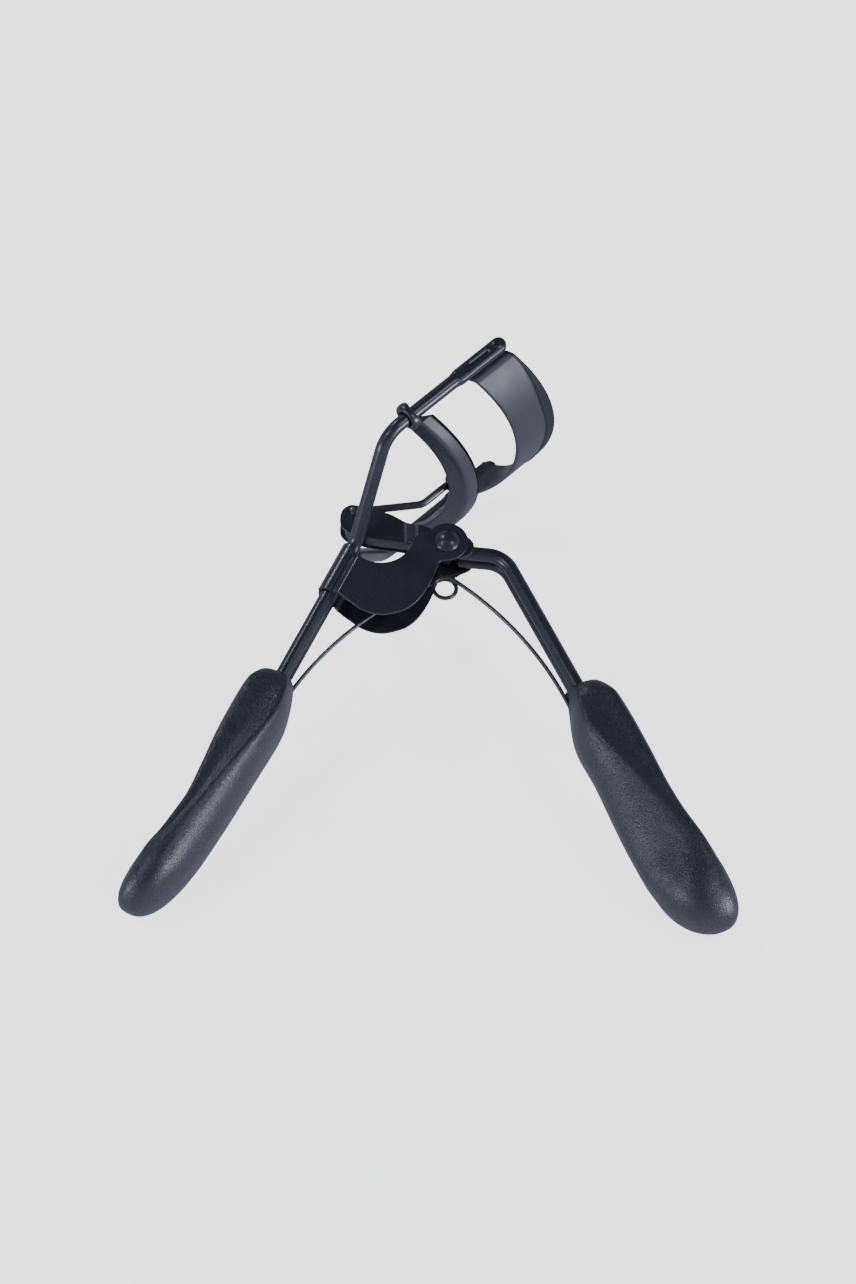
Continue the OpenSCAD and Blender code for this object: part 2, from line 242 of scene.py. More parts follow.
def circle(cx, cy, r, n, a0=0, a1=360):
    """A circle of n points, or an arc of n steps from a0 to a1 degrees."""
    count = n if a1 - a0 >= 360 else n + 1
    turns = [math.radians(a0 + (a1 - a0) * k / n) for k in range(count)]
    return [(cx + r * math.cos(a), cy + r * math.sin(a)) for a in turns]


def box_loop(x0, x1, y0, y1, r, seg=4, nx=1, ny=1):
    """A rounded rectangle as a closed list of (x, y), with nx and ny steps on its sides."""
    out = []
    corners = [(x1 - r, y0 + r, -90), (x1 - r, y1 - r, 0), (x0 + r, y1 - r, 90), (x0 + r, y0 + r, 180)]
    steps = [ny, nx, ny, nx]
    for c, (cx, cy, a0) in enumerate(corners):
        arc = circle(cx, cy, r, seg, a0, a0 + 90)
        out += arc
        nxt = corners[(c + 1) % 4]
        a1 = math.radians(nxt[2])
        end = (nxt[0] + r * math.cos(a1), nxt[1] + r * math.sin(a1))
        for k in range(1, steps[c]):
            q = k / steps[c]
            out.append((arc[-1][0] * (1 - q) + end[0] * q, arc[-1][1] * (1 - q) + end[1] * q))
    return out


def spline(points, steps):
    """A Catmull-Rom curve through points of any dimension, with steps points for each stretch."""
    last = len(points) - 1
    out = []
    for i in range(last):
        before, start, end, after = (points[min(max(k, 0), last)] for k in range(i - 1, i + 3))
        for k in range(steps):
            q = k / steps
            out.append(tuple(
                0.5 * (2 * b + q * (c - a) + q * q * (2 * a - 5 * b + 4 * c - d)
                       + q ** 3 * (3 * b - 3 * c + d - a))
                for a, b, c, d in zip(before, start, end, after)))
    out.append(tuple(points[-1]))
    return out


def plate(loops, thick, bevel=0.08, cuts=()):
    """A flat sheet with bevelled edges from 2-D loops (outline, then holes), as mesh data centred on
    z = 0. cuts are x positions where it gets a line of points, so that it can be bent afterwards."""
    cu = bpy.data.curves.new("outline", "CURVE")
    cu.dimensions = "2D"
    cu.fill_mode = "BOTH"
    cu.extrude = thick / 2 - bevel
    cu.bevel_depth = bevel
    cu.bevel_resolution = 2
    cu.offset = -bevel
    for loop in loops:
        sp = cu.splines.new("POLY")
        sp.points.add(len(loop) - 1)
        for p, q in zip(sp.points, loop):
            p.co = (q[0], q[1], 0, 1)
        sp.use_cyclic_u = True
    ob = bpy.data.objects.new("outline", cu)
    bpy.context.scene.collection.objects.link(ob)
    bpy.context.view_layer.update()
    me = bpy.data.meshes.new_from_object(ob.evaluated_get(bpy.context.evaluated_depsgraph_get()))
    bpy.data.objects.remove(ob)
    bm = bmesh.new()
    bm.from_mesh(me)
    bmesh.ops.remove_doubles(bm, verts=bm.verts, dist=0.002)
    for x in cuts:
        bmesh.ops.bisect_plane(bm, geom=bm.verts[:] + bm.edges[:] + bm.faces[:], dist=1e-5,
                               plane_co=(x, 0, 0), plane_no=(1, 0, 0))
    bmesh.ops.recalc_face_normals(bm, faces=bm.faces)
    verts = [v.co.copy() for v in bm.verts]
    faces = [tuple(v.index for v in f.verts) for f in bm.faces]
    bm.free()
    bpy.data.meshes.remove(me)
    return verts, faces


# ---- materials ----

def material(name, base, rough, grain, metal=0.0, blotch=0.08, rough_var=0.06, speck_and_glint=0.0, spec=0.5):
    """A finish with fine grain, slow blotches in colour and roughness, and optional specks that mottle the
    colour and partly stand in as painted glints on the grain.
    grain is (noise per mm, bump height in mm)."""
    mat = bpy.data.materials.new(name)
    mat.use_nodes = True
    nt = mat.node_tree
    nt.nodes.clear()
    new, link = nt.nodes.new, nt.links.new
    out = new("ShaderNodeOutputMaterial")
    bsdf = new("ShaderNodeBsdfPrincipled")
    link(bsdf.outputs["BSDF"], out.inputs["Surface"])
    bsdf.inputs["Metallic"].default_value = metal
    bsdf.inputs["Specular IOR Level"].default_value = spec
    co = new("ShaderNodeTexCoord")
    mm = new("ShaderNodeMapping")
    mm.inputs["Scale"].default_value = (1000, 1000, 1000)
    link(co.outputs["Object"], mm.inputs["Vector"])

    def noise(scale, detail, octave_share):
        n = new("ShaderNodeTexNoise")
        n.inputs["Scale"].default_value = scale
        n.inputs["Detail"].default_value = detail
        n.inputs["Roughness"].default_value = octave_share
        link(mm.outputs["Vector"], n.inputs["Vector"])
        return n.outputs["Fac"]

    def ramp(fac, lo, hi):
        r = new("ShaderNodeMapRange")
        r.inputs["From Min"].default_value = 0.3
        r.inputs["From Max"].default_value = 0.7
        r.inputs["To Min"].default_value = lo
        r.inputs["To Max"].default_value = hi
        link(fac, r.inputs["Value"])
        return r.outputs["Result"]

    slow, fine = noise(0.35, 3, 0.55), noise(grain[0], 2, 0.5)
    tone_and_glint = new("ShaderNodeMath")
    tone_and_glint.operation = "MULTIPLY"
    link(ramp(slow, 1 - blotch, 1 + blotch), tone_and_glint.inputs[0])
    # Specks lighten and darken the colour with the grain: partly its mottled tone, partly painted glints
    link(ramp(fine, 1 - speck_and_glint - 0.03, 1 + speck_and_glint + 0.03), tone_and_glint.inputs[1])
    colour = new("ShaderNodeVectorMath")
    colour.operation = "SCALE"
    colour.inputs[0].default_value = base
    link(tone_and_glint.outputs["Value"], colour.inputs["Scale"])
    link(colour.outputs["Vector"], bsdf.inputs["Base Color"])
    gloss = new("ShaderNodeMath")
    gloss.operation = "ADD"
    link(ramp(slow, rough - rough_var / 2, rough + rough_var / 2), gloss.inputs[0])
    link(ramp(fine, -rough_var, rough_var), gloss.inputs[1])
    link(gloss.outputs["Value"], bsdf.inputs["Roughness"])
    bump = new("ShaderNodeBump")
    bump.inputs["Strength"].default_value = 1.0
    bump.inputs["Distance"].default_value = grain[1] / 1000
    link(fine, bump.inputs["Height"])
    link(bump.outputs["Normal"], bsdf.inputs["Normal"])
    return mat


ENAMEL = material("black_enamel_look", (0.019, 0.021, 0.031), 0.3, (7, 0.003), blotch=0.06, rough_var=0.05)
SATIN = material("satin_enamel_look", (0.031, 0.032, 0.044), 0.42, (9, 0.004), blotch=0.06, spec=0.42)
# The lip's darker material is painted shade
LIP_PAINTED_SHADE = material("plate_lip_painted_shade_look", (0.016, 0.017, 0.024), 0.5, (9, 0.004), blotch=0.06, spec=0.16)
STEEL = material("blackened_steel_look", (0.06, 0.062, 0.072), 0.3, (5, 0.003), metal=0.5)
# The grip rubber's colour specks are partly painted glints on its sandy grain
RUBBER = material("grip_rubber_look", (0.024, 0.0245, 0.036), 0.33, (4.6, 0.075), rough_var=0.08, speck_and_glint=0.12)
PAD = material("pad_rubber_look", (0.006, 0.006, 0.009), 0.5, (6, 0.008), spec=0.2)

# ---- frame rods ----

ROD = 1.0
FLAT_FOOT, FLAT_TIP, FLAT_HALF = 12.4, 22.6, 1.175  # heights and half width of the pressed end
GROOVE, PANEL, STAKE = (15.7, 19.8), (13.4, 15.3), 21.2  # heights of the marks on its face


def relief(a, x):
    """How far the pressed end's face stands out at height a, x from its middle line: a groove, with
    a low panel before it and a stake beyond it."""
    groove = smooth((a - GROOVE[0]) / 0.4) * smooth((GROOVE[1] - a) / 0.4) * smooth((0.42 - abs(x)) / 0.2)
    panel = smooth((a - PANEL[0]) / 0.15) * smooth((PANEL[1] - a) / 0.15) * smooth((0.95 - abs(x)) / 0.2)
    stake = smooth((0.75 - math.hypot(x, a - STAKE)) / 0.3)
    return 0.1 * stake + 0.06 * panel - 0.22 * groove


def flat_ring(a, quarter=16):
    """A ring round the pressed end at height a, 4 * quarter points long."""
    pressed = smooth((a - FLAT_FOOT - 0.2) / 1.3)
    w, h = 1 + 0.175 * pressed, 1 - 0.15 * pressed
    power = 2 / (1 - 0.42 * pressed)
    if a > FLAT_TIP - FLAT_HALF:
        q = (a - FLAT_TIP + FLAT_HALF) / FLAT_HALF
        w = FLAT_HALF * math.sqrt(max(1 - q * q, 0.0004))
        h *= 1 - 0.35 * max(0, q - 0.75) / 0.25
    ring = []
    for j in range(4 * quarter):
        front = j < 2 * quarter
        u = j / quarter if front else 4 - j / quarter
        x = w * math.cos(math.pi * u / 2)
        y = h * (1 - min(abs(x / w), 1) ** power) ** (1 / power)
        ring.append(head_at(a, x, HEAD_Z + (y + relief(a, x) if front else -y)))
    return ring


def head_rod(steps=96):
    """Near frame rod: round wire whose head end is pressed flat."""
    path = rounded([head_at(13.0, 0, HEAD_Z), head_at(0, 0, HEAD_Z), fixed_at(5.7, 0, FIXED_Z),
                    fixed_at(ROD_END, 0, FIXED_Z)], [4.5, 3.5])
    wire = tube(path, ROD, 40, first=HEAD_SIDE, round_ends=(False, True))
    rings = [flat_ring(FLAT_FOOT + (FLAT_TIP - FLAT_FOOT) * i / steps) for i in range(steps + 1)]
    return join(wire, skin(rings))


near_rod = head_rod()
piece("near_wire", *near_rod, "frame", ["near_frame_rod"], "black_enamel", ENAMEL)
piece("far_wire", *mirror_z(near_rod), "frame", ["far_frame_rod"], "black_enamel", ENAMEL)

# ---- upper plate ----

def strip_path(mid, tab_z, near_fillet, far_fillet, tab_p):
    """Points (p, z, outward p, outward z) of a curved plate's middle: tab, bend, arc, bend, tab."""
    near = half_path(mid, tab_z, near_fillet, tab_p)
    far = half_path(mid, tab_z, far_fillet, tab_p)
    return [(p, -z, op, -oz) for p, z, op, oz in reversed(far[1:])] + near


def half_path(mid, tab_z, fillet, tab_p, steps=55):
    """strip_path from its middle to the near tab."""
    phi = math.asin((tab_z - fillet) / (mid - fillet))
    cp, cz = CENTRE + (mid - fillet) * math.cos(phi), (mid - fillet) * math.sin(phi)
    half = []
    for k in range(steps + 1):
        f = phi * k / steps
        half.append((CENTRE + mid * math.cos(f), mid * math.sin(f), math.cos(f), math.sin(f)))
    for k in range(1, 13):
        f = phi + (math.pi / 2 - phi) * k / 12
        half.append((cp + fillet * math.cos(f), cz + fillet * math.sin(f), math.cos(f), math.sin(f)))
    for k in range(1, 7):
        q = k / 6
        half.append((cp + (tab_p - cp) * q, tab_z, 0.0, 1.0))
    return half


PLATE_A = 14.6  # height of the plate's foot at the rods
PLATE_R = 23.025  # of the middle of its sheet
PLATE_T, PLATE_H, RIM = 0.225, 7.15, 0.1  # half its sheet, its height and the rounding of its rims
TAB_P, TAB_Z = -0.95, 15.375  # where its tabs end, and where they lie against the rods
NEAR_FILLET, FAR_FILLET = 1.2, 3.2  # radii of the bends before the tabs
LIP_STEP = 0.14  # height over which the lip steps out


def plate_section(lip, proud):
    """Closed (outward, height) loop through the plate, whose upper lip, lip tall, steps out by proud;
    and which of its points are the lip's."""
    loop = [(-PLATE_T, PLATE_H - RIM - (PLATE_H - 2 * RIM) * k / 16) for k in range(16)]
    for cx, a0 in ((-PLATE_T + RIM, 180), (PLATE_T - RIM, 270)):
        loop += circle(cx, RIM, RIM, 3, a0, a0 + 90)
    foot = PLATE_H - lip
    loop += [(PLATE_T, RIM + (foot - LIP_STEP - RIM) * k / 14) for k in range(1, 14)]
    lip_start = len(loop) + 1
    loop += [(PLATE_T + proud * smooth(k / 4), foot - LIP_STEP + LIP_STEP * k / 4) for k in range(5)]
    loop += [(PLATE_T + proud * (1 - 0.55 * k / 8), foot + (lip - RIM) * k / 8) for k in range(1, 8)]
    edge = PLATE_T + proud * 0.45
    loop += [(x + edge - PLATE_T, y) for x, y in circle(PLATE_T - RIM, PLATE_H - RIM, RIM, 3, 0, 90)]
    lip_points = range(lip_start, len(loop) - 1)
    loop += circle(-PLATE_T + RIM, PLATE_H - RIM, RIM, 3, 90, 180)[:-1]
    return loop, lip_points


def lash_plate():
    rings = []
    for p, z, op, oz in strip_path(PLATE_R, TAB_Z, NEAR_FILLET, FAR_FILLET, TAB_P):
        # The lip is tallest in the middle and fades out before the tabs
        middle = smooth((14.9 - abs(z)) / 9)
        section, lip = plate_section(0.45 + 1.3 * middle, 0.16 * smooth((14.6 - abs(z)) / 2.5))
        rings.append([head_at(PLATE_A + (p + op * x) * SLOPE + y, p + op * x, z + oz * x)
                      for x, y in section])
    ob = piece("lash_plate", *skin(rings), "frame", ["upper_plate"], "satin_enamel", SATIN, sharp=50)
    # The lip gets a darker material: painted shade, standing in for the dimmer reflection that it catches
    ob.data.materials.append(LIP_PAINTED_SHADE)
    count = len(rings[0])
    for face in ob.data.polygons:
        points = {v % count for v in face.vertices}
        if len(face.vertices) == 4 and points <= set(lip):
            face.material_index = 1


lash_plate()

# ---- bracket ----

SHEET = 0.4
FOLD = 1.32  # radius of the middle of the sheet where it turns round a rod
FOLD_END = FIXED_Z + FOLD * math.pi / 2  # arc length from the spine to the end of that turn
EAR_HOLE = 1.05


def fold_point(q):
    """Middle of the bracket's sheet at arc length q from its spine: (x, z, normal x, normal z)."""
    way, q = (1, q) if q >= 0 else (-1, -q)
    if q < FIXED_Z:
        x, z, nx, nz = -FOLD, q, -1, 0
    elif q < FOLD_END:
        a = (q - FIXED_Z) / FOLD
        x, z, nx, nz = -FOLD * math.cos(a), FIXED_Z + FOLD * math.sin(a), -math.cos(a), math.sin(a)
    else:
        x = q - FOLD_END
        z = side_level(x)
        slope = (side_level(x + 0.01) - side_level(x - 0.01)) / 0.02
        nx, nz = -slope / math.hypot(1, slope), 1 / math.hypot(1, slope)
    return x, z * way, nx, nz * way


def side_level(x):
    """The sheet dips into a crimp beside the rods, then steps out to the side plate."""
    return 2.36 + 0.36 * smooth((x - 0.95) / 0.75) - 0.34 * smooth(x / 0.7) * smooth((1.5 - x) / 0.7)


def bracket():
    """The near side's outline and its mirror image make the flat pattern, which is then folded."""
    def flat(p):
        """(q, s) in the flat pattern of a point of the side plate given in the mechanism's plane."""
        v = Vector((p[0], p[1], 0))
        return (FIXED_OFF - v.dot(FIXED_OUT) + FOLD_END, v.dot(FIXED_DOWN))

    top = [flat(p) for p in circle(-9.3, 1.1, 4.6, 26, 226, 352)]
    neck = [flat(p) for p in spline([(-4.74, 0.45), (-4.2, 0.98), (-3.4, 1.42), (-2.55, 1.6)], 4)[1:-1]]
    ear = [flat(p) for p in reversed(circle(0, 0, 2.95, 38, -84, 144))]
    low = [flat(p) for p in spline([
        (0.0, -2.95), (-0.95, -3.2), (-1.4, -4.1), (-2.4, -6.6), (-3.8, -9), (-5.2, -10.45), (-6.6, -11.15),
        (-8.7, -11.7), (-10.5, -11.5), (-12.1, -10.85)], 6)[2:]]
    foot = [(5.6, 14.35), (4.9, 14.1), (4.2, 14.0), (3.0, 14.0), (1.2, 14.0)]
    crown = [(1.2, 6.0), (2.4, 6.0), (3.2, 6.2)]
    near = crown + [p for p in top if p[0] > 3.9] + neck + ear + low + foot
    loop = near + [(-q, s) for q, s in reversed(near)]
    hole = flat((0, 0))
    holes = [circle(way * hole[0], hole[1], EAR_HOLE, 32) for way in (1, -1)]
    # Lines of points where the sheet is folded and crimped
    cuts = [0.09 * k for k in range(-66, 67)]
    verts, faces = plate([loop] + holes, SHEET, 0.09, cuts)
    out = []
    for v in verts:
        x, z, nx, nz = fold_point(v.x)
        x, z = x + nx * v.z, z + nz * v.z
        out.append(FIXED_OUT * (FIXED_OFF - x) + FIXED_DOWN * v.y + UP * z)
    return out, faces


piece("folded_bracket", *bracket(), "frame", ["frame_bracket"], "black_enamel", ENAMEL, sharp=35,
      weighted=True)

# ---- pivot rivet ----

def dome(head_r, head_h, flat):
    """(radius, height) of a domed rivet head from its rim to its crown."""
    big = (head_r ** 2 + (head_h - flat) ** 2) / (2 * (head_h - flat))
    out = [(head_r - 0.08, 0.0), (head_r, 0.06), (head_r, flat)]
    top = math.asin(head_r / big)
    for k in range(1, 15):
        a = top * (1 - k / 14)
        out.append((big * math.sin(a), head_h - big + big * math.cos(a)))
    return out


def rivet(x, y, r, half, head_r, head_h):
    """A shank of radius r from -half to half in z, with a domed head at each end."""
    head = dome(head_r, head_h, 0.14)
    profile = [(q, -half - h) for q, h in reversed(head)] + [(r, -half + 0.01), (r, half - 0.01)]
    profile += [(q, half + h) for q, h in head]
    return lathe(profile, (x, y, 0), (0, 0, 1))


piece("pivot_stud", *rivet(0, 0, 1.0, 2.92, 1.75, 0.95), "frame", ["pivot_rivet"], "black_enamel", ENAMEL,
      sharp=50)

# ---- lever ----

HUB = 2.7
LEVER_HOLE = 1.06
PIN = (-12.9, 5.6)
ARM_TOP = [(-13.6, 6.62), (-12.4, 6.5), (-10, 5.82), (-8, 5.15), (-6.6, 4.35), (-5.4, 3.6), (-4.2, 3.05),
           (-2.6, 2.5)]
ARM_LOW = [(-2.2, -2.0), (-3.4, -0.75), (-4.8, 0.25), (-6.6, 0.62), (-9.4, 1.0), (-12.2, 1.62), (-14.1, 2.3)]


def lever_wall_z(x):
    """The two walls run close together along the short arm and spread apart towards the hub."""
    return 1.4 + 0.9 * smooth((x + 6.2) / 2.4)


def lever_walls():
    left = spline([(-14.1, 2.3), (-14.85, 3.2), (-15.0, 4.6), (-14.6, 5.9), (-13.6, 6.62)], 6)[1:-1]
    hub_top = list(reversed(circle(0, 0, HUB, 10, 48, 128)))
    right = spline([(2.2, 1.5), (2.95, 0.95), (3.5, 0.35), (3.75, -0.3), (3.7, -1.1), (3.2, -1.8),
                    (2, -2.4)], 5)
    hub_low = list(reversed(circle(0, 0, HUB, 10, -136, -56)))
    loop = spline(ARM_TOP, 6)[:-1] + hub_top + right + hub_low + spline(ARM_LOW, 6) + left
    # Lines of points where the walls spread
    cuts = [-6.5 + 0.12 * k for k in range(26)]
    verts, faces = plate([loop, circle(0, 0, LEVER_HOLE, 32)], 0.34, 0.08, cuts)
    near = [Vector((p.x, p.y, p.z + lever_wall_z(p.x))) for p in verts], faces
    return join(near, mirror_z(near))


def low_edge(x):
    """Height of the short arm's lower edge at x."""
    pts = spline(ARM_LOW, 12)
    for a, b in zip(pts, pts[1:]):
        if b[0] <= x <= a[0]:
            q = (x - a[0]) / (b[0] - a[0])
            return a[1] + (b[1] - a[1]) * q
    return pts[-1][1]


def lever_web():
    """The folded bottom of the short arm, with its rounded corners."""
    rings = []
    start, length, half_width, steps = -14.3, 9.9, 1.5, 40
    for k in range(steps + 1):
        x = start + length * k / steps
        y = low_edge(max(x, -14.1)) + 0.36 + 0.5 * smooth((-13.9 - x) / 0.5)
        loop = []
        for u, v in box_loop(-half_width, half_width, -0.17, 0.19, 0.15, seg=3, nx=10):
            bend = 0.28 * smooth((abs(u) - 1.0) / 0.5)
            loop.append(Vector((x, y + v + bend, u)))
        rings.append(loop)
    return skin(rings)


def lever_saddle():
    """The strip that joins the walls over the lever's rods."""
    half_width, steps = 2.14, 24
    section = [(2.9 + 0.45 * u, 0.42 - 0.08 * u + 0.75 * v)
               for u, v in box_loop(-1, 1, -0.2, 0.2, 0.12, seg=3)]
    levels = [half_width * (2 * k / steps - 1) for k in range(steps + 1)]
    return skin([[Vector((x, y, z)) for x, y in section] for z in levels])


piece("lever_sheet", *join(lever_walls(), lever_web(), lever_saddle()), "lever", ["lever_plate"],
      "black_enamel", ENAMEL, sharp=35, weighted=True)

lever_path = rounded([(1.5, -0.75, LEVER_Z), lever_at(4.7, 0, LEVER_Z), lever_at(ROD_END, 0, LEVER_Z)], [4.0])
lever_rod = tube(lever_path, ROD, 40)
piece("near_lever_wire", *lever_rod, "lever", ["near_lever_rod"], "black_enamel", ENAMEL)
piece("far_lever_wire", *mirror_z(lever_rod), "lever", ["far_lever_rod"], "black_enamel", ENAMEL)
piece("short_arm_pin", *rivet(*PIN, 0.4, 1.6, 0.72, 0.28), "lever", ["link_pin"], "blackened_steel", STEEL)

# ---- lower jaw ----

JAW_A, JAW_H = 3.75, 2.0  # height of the jaw's foot at the rods, and of its walls
JAW_R, PAD_R = 21.0, 21.4  # from the plates' centre to the inner side of the jaw and of the pad
LUG = (0.7, 11.4)
SWEEP_STEPS = 100
CLEAR = 1.36  # least distance from a head rod's axis to the jaw and the pad


def channel_section():
    """Closed (outward, height) loop of the U channel, its lower corners rounded and its rims soft."""
    width, wall, bottom = 2.75, 0.35, 0.4
    outer, inner, rim = 0.6, 0.25, 0.12  # radii of the lower corners outside and inside, and of the rims
    side = JAW_H - rim - outer
    loop = circle(width - outer, outer, outer, 6, -90, 0)
    loop += [(width, outer + side * k / 6) for k in range(1, 6)]
    loop += circle(width - rim, JAW_H - rim, rim, 3, 0, 90)
    loop += circle(width - wall + rim, JAW_H - rim, rim, 3, 90, 180)
    loop += circle(width - wall - inner, bottom + inner, inner, 4, 0, -90)
    loop += circle(wall + inner, bottom + inner, inner, 4, -90, -180)
    loop += circle(wall - rim, JAW_H - rim, rim, 3, 0, 90)
    loop += circle(rim, JAW_H - rim, rim, 3, 90, 180)
    loop += [(0, JAW_H - rim - side * k / 6) for k in range(1, 6)]
    loop += circle(outer, outer, outer, 6, 180, 270)
    loop += [(outer + (width - 2 * outer) * k / 6, 0) for k in range(1, 6)]
    return loop


def arc_sweep(section, r0, a0, end):
    """Sweeps an (outward, height) loop about the plates' centre to end degrees on each side. Points
    that would come nearer than CLEAR to a head rod's axis are moved out to that distance."""
    rings = []
    for k in range(SWEEP_STEPS + 1):
        f = math.radians(end) * (2 * k / SWEEP_STEPS - 1)
        ring = []
        for x, y in section:
            p, z = CENTRE + (r0 + x) * math.cos(f), (r0 + x) * math.sin(f)
            way = Vector((p, abs(z) - HEAD_Z))
            height = a0 + p * SLOPE + y
            if way.length < CLEAR:
                way = way.normalized() * CLEAR
                p, z = way.x, math.copysign(HEAD_Z + way.y, z)
            ring.append(head_at(height, p, z))
        rings.append(ring)
    return skin(rings)


def lug():
    """Two ears that come down from the jaw's middle and hold the link's upper eye between them."""
    root_lo, root_hi = head_at(7.1, 5.6), head_at(8.8, 5.6)
    loop = circle(*LUG, 0.88, 16, 95, 287) + [(root_lo.x, root_lo.y), (root_hi.x, root_hi.y)]
    verts, faces = plate([loop], 0.4)
    near = [Vector((p.x, p.y, p.z + 0.8)) for p in verts], faces
    return join(near, mirror_z(near))


def jaw():
    section = channel_section()
    ob = piece("jaw_channel", *join(arc_sweep(section, JAW_R, JAW_A, 43.2), lug()), "jaw", ["lower_jaw"],
               "satin_enamel", SATIN, sharp=50)
    # The underside gets the darker enamel as painted shade; the lug gets it too
    ob.data.materials.append(ENAMEL)
    swept = (SWEEP_STEPS + 1) * len(section)
    # Faces near the channel's bottom take the darker enamel as painted shade
    for face in ob.data.polygons:
        if face.vertices[0] >= swept or all(section[v % len(section)][1] < 0.3 for v in face.vertices):
            face.material_index = 1


jaw()


def pad_section():
    """The pad's top swells over the channel's rims."""
    out = []
    for x, y in box_loop(0, 1.95, 0, 2.1, 0.3, seg=5, nx=4, ny=10):
        swell = 0.34 * smooth((y - 1.5) / 0.3)
        out.append((x + (swell if x > 1 else -swell), y))
    return out


piece("silicone_pad", *arc_sweep(pad_section(), PAD_R, JAW_A + 0.45, 42.9), "jaw", ["lash_pad"],
      "pad_rubber", PAD)

# ---- slide eyelets ----

def eyelet_profile(steps=24):
    """The eyelet's section as a (radius, height) loop: an oval with squarish corners."""
    pts = []
    for k in range(steps):
        a = 2 * math.pi * k / steps
        c, s = math.cos(a), math.sin(a)
        pts.append((1.5 + 0.43 * math.copysign(abs(c) ** 0.8, c), 0.84 * math.copysign(abs(s) ** 0.85, s)))
    return pts


def eyelet_side():
    """The eyelet is a curl of the jaw's sheet: slim where it crosses the rod, fuller away from the plate."""
    verts, faces = ring_lathe(eyelet_profile(), (0, 0, 0), HEAD_UP, 64)
    middle = head_at(4.4, 0, HEAD_Z)
    out = []
    for v in verts:
        up = v.dot(HEAD_UP)
        flat = v - HEAD_UP * up
        d = flat.normalized()
        away = max(0.0, -d.dot(HEAD_SIDE))
        front = max(0.0, d.z) * (1 - away)
        flat *= 1 + (flat.length - 1.07) * (0.16 * away ** 3 - 0.16 * front)
        out.append(middle + flat + HEAD_UP * (up * (1 - 0.45 * front) - 0.25 * front))
    return out, faces


eyelet = eyelet_side()
piece("near_curl", *eyelet, "jaw", ["near_slide_eyelet"], "black_enamel", ENAMEL)
piece("far_curl", *mirror_z(eyelet), "jaw", ["far_slide_eyelet"], "black_enamel", ENAMEL)
piece("lug_rivet", *rivet(*LUG, 0.45, 1.0, 0.85, 0.45), "jaw", ["jaw_rivet"], "black_enamel", ENAMEL,
      sharp=50)

# ---- push link ----

LINK_FOOT = (-13.16, 5.82)


def eye(x, y, bore, outer):
    """A flat ring 1 mm thick with rounded edges, from radius bore to radius outer."""
    middle, half = (bore + outer) / 2, (outer - bore) / 2
    loop = [(middle + u, v) for u, v in box_loop(-half, half, -0.5, 0.5, 0.16, 3)]
    return ring_lathe(loop, (x, y, 0), (0, 0, 1), 36)


link_path = rounded([(0.25, 11.05, 0), (-3.4, 7.65, 0), (-10.2, 6.75, 0), (-12.26, 6.12, 0)], [2.5, 2.5], 0.2)
piece("push_wire", *join(tube(link_path, 0.55, 24), eye(*LUG, 0.5, 0.76), eye(*LINK_FOOT, 0.78, 1.25)),
      "link", ["push_link"], "blackened_steel", STEEL)

# ---- return spring ----

COIL, COIL_R, PITCH = Vector((-0.3, -5.9, 0)), 1.6, 0.66
LEFT_A, RIGHT_A = 114.0, 54.0  # where on the coil the two legs leave it
SWEEP = 360 + LEFT_A - RIGHT_A
RISE = PITCH * SWEEP / 360
COIL_STEPS, LEG_STEPS = 96, 44
LEG = 28.6  # length of each leg


def leg(a0, turn, length, way, z, steps):
    """A leg that leaves the coil at a0 degrees and bows through turn degrees over its length; way
    is 1 or -1."""
    heading = math.radians(a0 + way * 90)
    bow = length / math.radians(turn)
    start = COIL + Vector((math.cos(math.radians(a0)), math.sin(math.radians(a0)), 0)) * COIL_R
    out = []
    for i in range(steps + 1):
        b = way * math.radians(turn) * i / steps
        out.append(start + Vector((0, 0, z)) + way * bow * Vector(
            (math.sin(heading + b) - math.sin(heading), math.cos(heading) - math.cos(heading + b), 0)))
    return out


def coil_point(share):
    """The point at share of the way along the coil, from the left leg to the right one."""
    a = math.radians(LEFT_A - share * SWEEP)
    return COIL + Vector((COIL_R * math.cos(a), COIL_R * math.sin(a), (share - 0.5) * RISE))


left_leg = list(reversed(leg(LEFT_A, 35, LEG, 1, -RISE / 2, LEG_STEPS)))
coil = [coil_point(k / COIL_STEPS) for k in range(1, COIL_STEPS)]
right_leg = leg(RIGHT_A, 33.7, LEG, -1, RISE / 2, LEG_STEPS)
spring = piece("spring_wire", *tube(left_leg + coil + right_leg, 0.3, 16), None, ["return_spring"],
               "blackened_steel", STEEL)
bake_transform(spring)

# ---- grips ----

# Distance down the handle, outer side, inner side and half height
FIXED_STATIONS = [
    (28.4, 2.4, 1.6, 2.2), (29.2, 3.35, 2.2, 3.2), (31.4, 3.85, 2.9, 4), (35, 3.95, 3.55, 4.6),
    (41, 3.75, 3.45, 5.2), (47, 3.15, 3.25, 5.65), (52, 2.8, 3, 5.95), (57, 3.4, 2.6, 6.2),
    (60, 4.35, 2.15, 6.15)]
LEVER_STATIONS = [
    (27.5, 2.3, 1.9, 2.2), (28.3, 3.4, 1.9, 3.2), (30.2, 4.15, 2.6, 3.9), (35, 4.35, 4.1, 4.5),
    (41, 4.15, 4.25, 5), (47, 3.8, 4.7, 5.4), (52, 3.9, 4.95, 5.7), (57, 4.55, 4.95, 5.85),
    (60, 4.95, 4.55, 5.75)]
# Where the inner ridge starts to cross the grip, over what length, from which share of the width, by
# how much, and how flat the face beside it is
FIXED_RIDGE = (34, 24, 0.14, 0.5, 1.12)
LEVER_RIDGE = (29, 28, 0.17, 0.64, 1.35)
# Where the tip ends, how far its middle drifts and curls outwards, and how blunt it is
FIXED_TIP = (68.55, 0.22, 0, 2.7)
LEVER_TIP = (67.85, 0.13, 0.01, 2.1)


